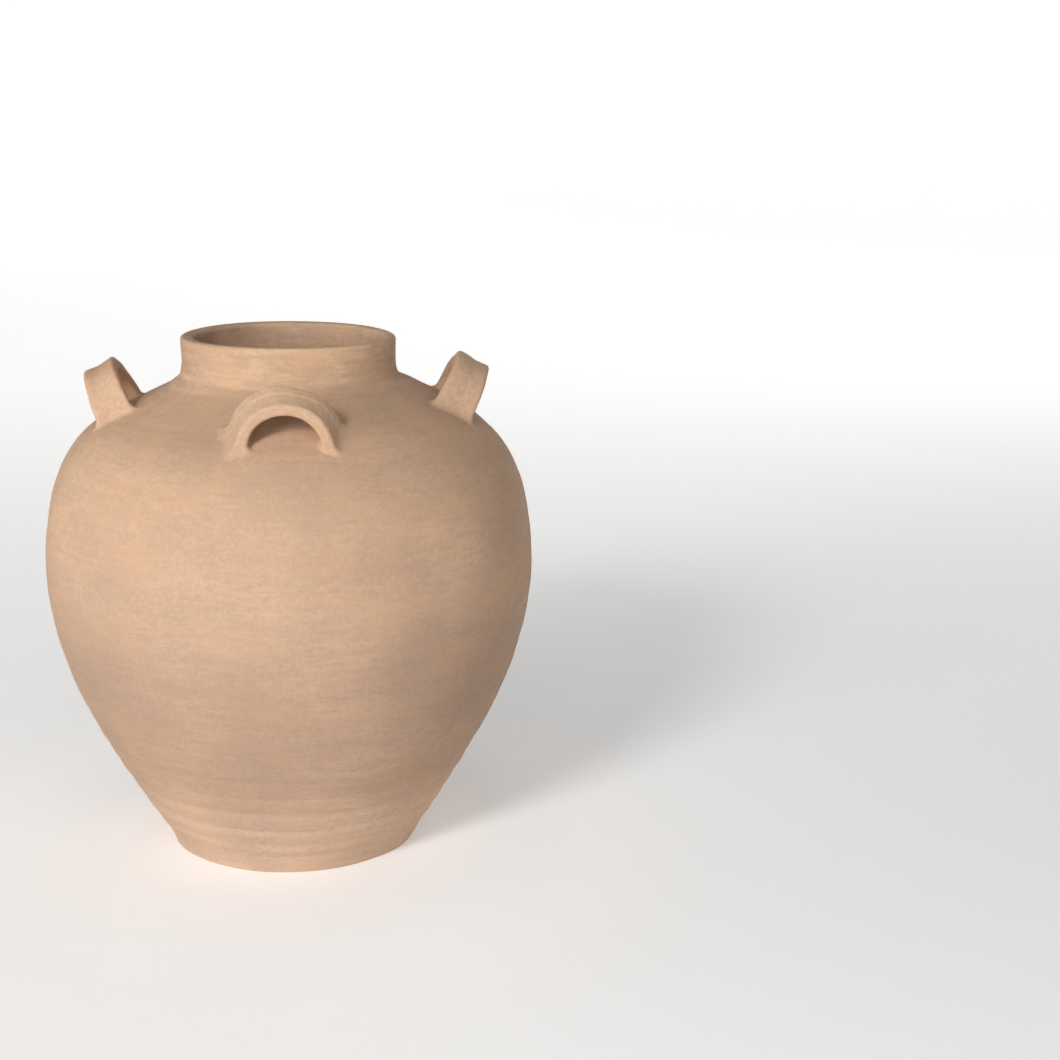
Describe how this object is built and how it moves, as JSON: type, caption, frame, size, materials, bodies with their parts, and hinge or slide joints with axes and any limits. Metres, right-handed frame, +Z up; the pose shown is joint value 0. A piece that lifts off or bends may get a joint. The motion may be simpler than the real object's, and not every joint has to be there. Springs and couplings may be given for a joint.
{
  "type": "olla jar",
  "caption": "Wide-bellied unglazed clay storage jar with a short upright neck, an open mouth, a small flat foot and strap lugs standing around its shoulder.",
  "frame": {"origin": "centre of the jar's flat foot, on the surface that it stands on", "axes": "+Z up along the jar's axis, -Y towards the front lug, which faces the viewer in the picture, +X to the viewer's right"},
  "size_m": [0.3575, 0.3575, 0.38],
  "materials": {
    "bisque_clay": "unglazed matt bisque, sandy and slightly streaked from throwing",
    "luting_clay": "unglazed matt bisque, smeared by hand"
  },
  "bodies": {
    "root": {"base_disc": "bisque_clay", "floor_corner_coil": "bisque_clay", "lower_wall": "bisque_clay", "belly_wall": "bisque_clay", "shoulder_wall": "bisque_clay", "neck_collar": "bisque_clay", "rim_coil": "bisque_clay", "handle_front": "bisque_clay", "handle_left": "bisque_clay", "handle_right": "bisque_clay", "handle_back": "bisque_clay", "front_luting": "luting_clay", "left_luting": "luting_clay", "right_luting": "luting_clay", "back_luting": "luting_clay"}
  },
  "joints": []
}
